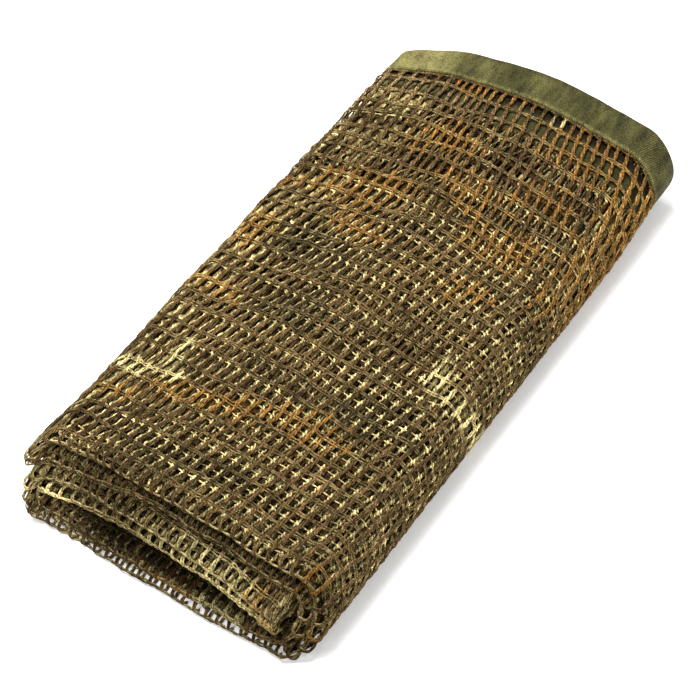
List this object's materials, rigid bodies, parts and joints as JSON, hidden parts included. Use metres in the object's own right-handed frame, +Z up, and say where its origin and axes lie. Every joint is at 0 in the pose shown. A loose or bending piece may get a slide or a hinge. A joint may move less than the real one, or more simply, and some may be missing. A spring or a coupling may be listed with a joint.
{
  "type": "folded net scarf",
  "caption": "Open-mesh netting scarf with a woven tape along each end, folded flat into a soft rectangular packet with a hollow at its near edge.",
  "frame": {"origin": "centre of the packet's bounding box, on the face it rests on", "axes": "+Z up from the face it rests on; +Y along the packet towards the taped ends; +X across it towards the side where the scarf wraps round from the bottom to the top"},
  "size_m": [0.1455, 0.2678, 0.0355],
  "materials": {
    "netting": "fuzzy spun yarn, knitted into an open mesh and printed in blotches of dark olive, rust and tan",
    "twill_tape": "matt olive green twill tape, folded over the end of the net and stitched down"
  },
  "bodies": {
    "root": {"net_cloth": "netting", "end_binding_a": "twill_tape", "end_binding_b": "twill_tape"}
  },
  "joints": []
}
